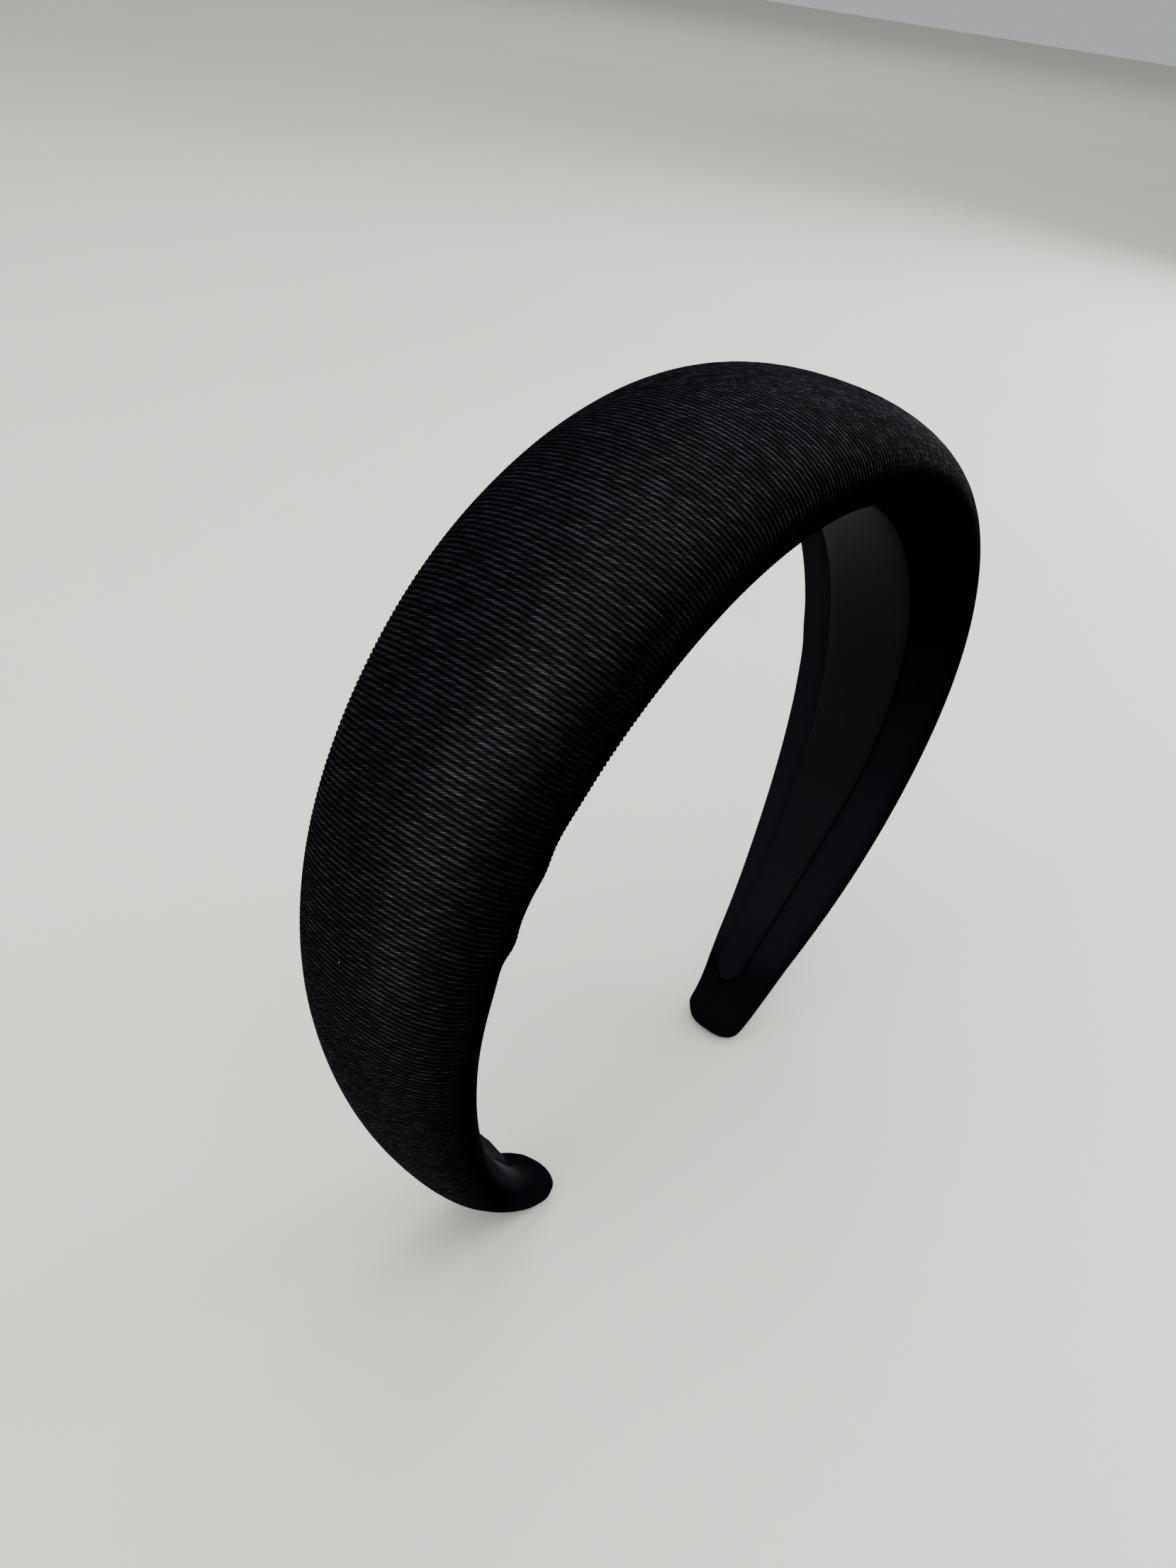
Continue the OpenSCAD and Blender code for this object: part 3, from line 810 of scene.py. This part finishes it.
def pale_floor_paint():
    """Matt off-white floor."""
    material, nodes, shader = new_material("pale_floor_paint")
    where = nodes.add("ShaderNodeTexCoord").outputs["Object"]
    noise = nodes.add("ShaderNodeTexNoise", {"Vector": where, "Scale": 3.0, "Detail": 4.0}).outputs["Fac"]
    grain = nodes.add("ShaderNodeTexNoise", {"Vector": where, "Scale": 900.0, "Detail": 2.0}).outputs["Fac"]
    nodes.feed(shader, {
        "Base Color": nodes.ramp(noise, [(0.3, FLOOR_DULL), (0.7, FLOOR_PALE)]), "Roughness": 0.7,
        "Normal": nodes.relief(grain, 0.00005, 0.3)})
    return material


# Stage, light and camera, in metres and watts

FLOOR_HALF = 12.0
LIGHT_COLOUR, SIDE_COLOUR, OVERHEAD_COLOUR = (0.93, 0.96, 1.0), (0.91, 0.95, 1.0), (0.95, 0.97, 1.0)
WORLD_COLOUR, WORLD_LIGHT, WORLD_SHOWN = (0.86, 0.90, 0.93, 1.0), 0.17, 0.36

# An arch of soft lights over the band, whose gleam runs along the front half of its outer face
ARCH_RADIUS, ARCH_HEIGHT, ARCH_LONG, ARCH_LIFT = 1.15, 0.08, 0.62, 0.07
ARCH_LIGHTS = [
    # degrees up from the right, metres behind the band, width, watts
    (50, -0.05, 1.40, 11.5),
    (85, 0.00, 1.60, 9.5),
    (118, 0.00, 1.30, 10.0),
    (148, 0.02, 0.95, 10.5),
    (174, 0.10, 0.60, 8.0),
]

# The soft light from overhead, and the one that keeps the floor far behind the band pale
OVERHEAD_STRENGTH, OVERHEAD_WIDE, OVERHEAD_TILT = 1.5, 110, -8
FAR_PLACE, FAR_SIZE, FAR_WATTS = (2.7, 2.0, 3.0), 3.4, 80.0

# The camera, from the outline of the band in the photograph: focal length in picture widths, angles,
# and the point that it looks at
FOCAL_PER_WIDTH = 1739.246 / 1659
SENSOR_W = 36.0
CAMERA_AZIMUTH, CAMERA_ELEVATION, CAMERA_ROLL = -53.6378, 33.8155, -8.4602
CAMERA_DISTANCE = 226.0582
CAMERA_TARGET = (-9.6909, 14.0355, 78.4087)
CAMERA_NEAR, CAMERA_FAR = 0.01, 20.0


def pale_floor(paint):
    h = FLOOR_HALF
    mesh = bpy.data.meshes.new("pale_floor")
    mesh.from_pydata([(-h, -h, 0), (h, -h, 0), (h, h, 0), (-h, h, 0)], [], [(0, 1, 2, 3)])
    mesh.materials.append(paint)
    floor = bpy.data.objects.new("pale_floor", mesh)
    bpy.context.scene.collection.objects.link(floor)
    return floor


def long_light(name, place, target, along, length, width, power, colour):
    """A soft rectangular light at a place, facing a target, with its length laid in a direction."""
    lamp = bpy.data.lights.new(name, "AREA")
    lamp.shape = "RECTANGLE"
    lamp.size, lamp.size_y = length, width
    lamp.energy = power
    lamp.color = colour
    holder = bpy.data.objects.new(name, lamp)
    back = (Vector(place) - Vector(target)).normalized()
    up = back.cross(Vector(along)).normalized()
    turn = Matrix((up.cross(back), up, back)).transposed()
    holder.matrix_world = Matrix.Translation(place) @ turn.to_4x4()
    bpy.context.scene.collection.objects.link(holder)


def light_arch():
    """The arch of lights, and one more low at the right."""
    for k, (angle, behind, width, power) in enumerate(ARCH_LIGHTS):
        a = math.radians(angle)
        place = (ARCH_RADIUS * math.cos(a), behind, ARCH_HEIGHT + ARCH_RADIUS * math.sin(a))
        along = (-math.sin(a), 0.0, math.cos(a))
        length = min(ARCH_LONG, 2 * (place[2] - ARCH_LIFT))
        long_light(f"soft_light_{k + 1}", place, (0, 0, ARCH_HEIGHT), along, length, width, power, LIGHT_COLOUR)
    long_light("soft_light_side", (1.10, -0.30, 0.46), (0, 0, 0.12), (0, 1, 0), 1.3, 0.58, 22.0, SIDE_COLOUR)


def even_light():
    """Soft light from above that keeps the floor pale, and more of it on the floor far behind the band."""
    lamp = bpy.data.lights.new("soft_overhead", "SUN")
    lamp.energy = OVERHEAD_STRENGTH
    lamp.angle = math.radians(OVERHEAD_WIDE)
    lamp.color = OVERHEAD_COLOUR
    holder = bpy.data.objects.new("soft_overhead", lamp)
    holder.rotation_euler = (math.radians(OVERHEAD_TILT), 0, 0)
    bpy.context.scene.collection.objects.link(holder)
    under = (FAR_PLACE[0], FAR_PLACE[1], 0.0)
    long_light("soft_far_light", FAR_PLACE, under, (1, 0, 0), FAR_SIZE, FAR_SIZE, FAR_WATTS, LIGHT_COLOUR)


def studio_world():
    """A pale backdrop, with little light of its own."""
    world = bpy.data.worlds.new("studio_world")
    world.use_nodes = True
    nodes = Nodes(world.node_tree)
    seen = nodes.add("ShaderNodeLightPath").outputs["Is Camera Ray"]
    strength = nodes.plus(WORLD_LIGHT, nodes.times(seen, WORLD_SHOWN))
    nodes.feed(world.node_tree.nodes["Background"], {"Color": WORLD_COLOUR, "Strength": strength})
    bpy.context.scene.world = world


def photo_camera():
    azimuth, elevation, roll = (math.radians(a) for a in (CAMERA_AZIMUTH, CAMERA_ELEVATION, CAMERA_ROLL))
    back = Vector((math.sin(azimuth) * math.cos(elevation), -math.cos(azimuth) * math.cos(elevation),
                   math.sin(elevation)))
    right = (-back).cross(Vector((0, 0, 1))).normalized()
    down = (-back).cross(right)
    turned_right = math.cos(roll) * right + math.sin(roll) * down
    turned_down = -math.sin(roll) * right + math.cos(roll) * down
    data = bpy.data.cameras.new("photo_camera")
    data.sensor_fit = "HORIZONTAL"
    data.sensor_width = SENSOR_W
    data.lens = FOCAL_PER_WIDTH * SENSOR_W
    data.clip_start, data.clip_end = CAMERA_NEAR, CAMERA_FAR
    camera = bpy.data.objects.new("photo_camera", data)
    place = (Vector(CAMERA_TARGET) + back * CAMERA_DISTANCE) * MM
    turn = Matrix((turned_right, -turned_down, back)).transposed()
    camera.matrix_world = Matrix.Translation(place) @ turn.to_4x4()
    bpy.context.scene.collection.objects.link(camera)
    bpy.context.scene.camera = camera


photo_camera()
studio_world()
light_arch()
even_light()
floor = pale_floor(pale_floor_paint())

dye, specks, weave = uneven_dye(), lint(), thread_weave()
swell = swelling()
cover = ribbed_cover(ribbed_cloth(dye, specks, weave), swell)
core = soft_core(soft_foam(dye), swell)
ribbon = satin_lining(charcoal_satin(dye, specks, weave))

for piece, node in ((cover, "cover"), (core, "padding"), (ribbon, "lining")):
    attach(piece, "root")
    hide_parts(node)
